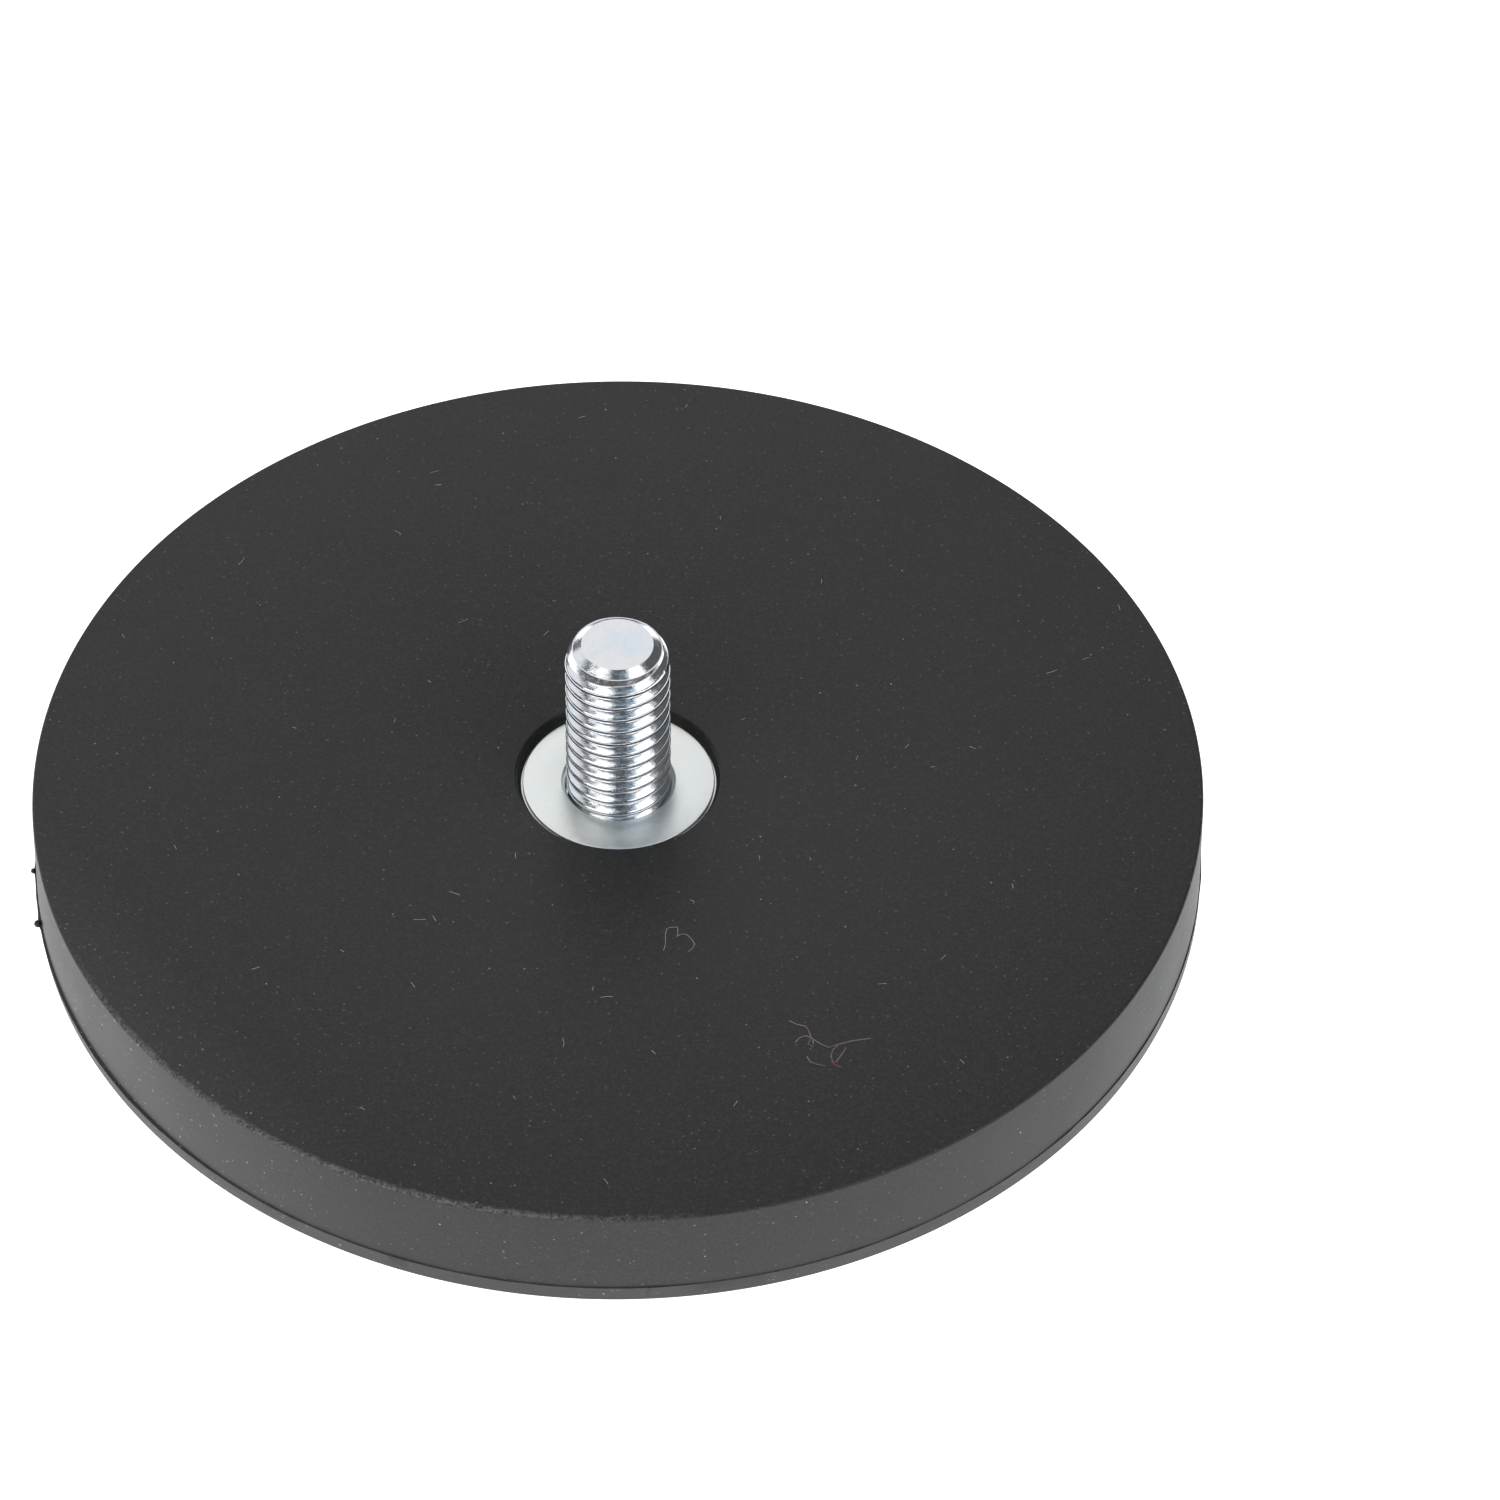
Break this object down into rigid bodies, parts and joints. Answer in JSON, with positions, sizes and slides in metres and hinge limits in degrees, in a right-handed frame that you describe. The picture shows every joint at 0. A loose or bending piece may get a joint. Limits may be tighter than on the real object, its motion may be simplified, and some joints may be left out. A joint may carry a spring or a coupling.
{
  "type": "rubber-coated stud magnet",
  "caption": "Flat round holding magnet in a black rubber jacket, with a threaded stud standing from the middle of its back.",
  "frame": {"origin": "middle of the flat holding face, under the stud", "axes": "+Z along the stud's axis, from the holding face towards the stud's end"},
  "size_m": [0.0882, 0.0882, 0.0222],
  "materials": {
    "black_rubber": "matte moulded rubber",
    "zinc_plated_plate": "satin zinc plating with a faint blue passivation",
    "bright_zinc_stud": "bright zinc plating with a blue passivation",
    "nickel_plated_magnet": "bright nickel plating"
  },
  "bodies": {
    "root": {"rubber_jacket": "black_rubber", "steel_plate": "zinc_plated_plate", "threaded_stud": "bright_zinc_stud", "magnet_01": "nickel_plated_magnet", "magnet_02": "nickel_plated_magnet", "magnet_03": "nickel_plated_magnet", "magnet_04": "nickel_plated_magnet", "magnet_05": "nickel_plated_magnet", "magnet_06": "nickel_plated_magnet", "magnet_07": "nickel_plated_magnet", "magnet_08": "nickel_plated_magnet", "magnet_09": "nickel_plated_magnet", "magnet_10": "nickel_plated_magnet", "magnet_11": "nickel_plated_magnet", "magnet_12": "nickel_plated_magnet", "magnet_13": "nickel_plated_magnet", "magnet_14": "nickel_plated_magnet", "magnet_15": "nickel_plated_magnet", "magnet_16": "nickel_plated_magnet", "magnet_17": "nickel_plated_magnet", "magnet_18": "nickel_plated_magnet"}
  },
  "joints": []
}
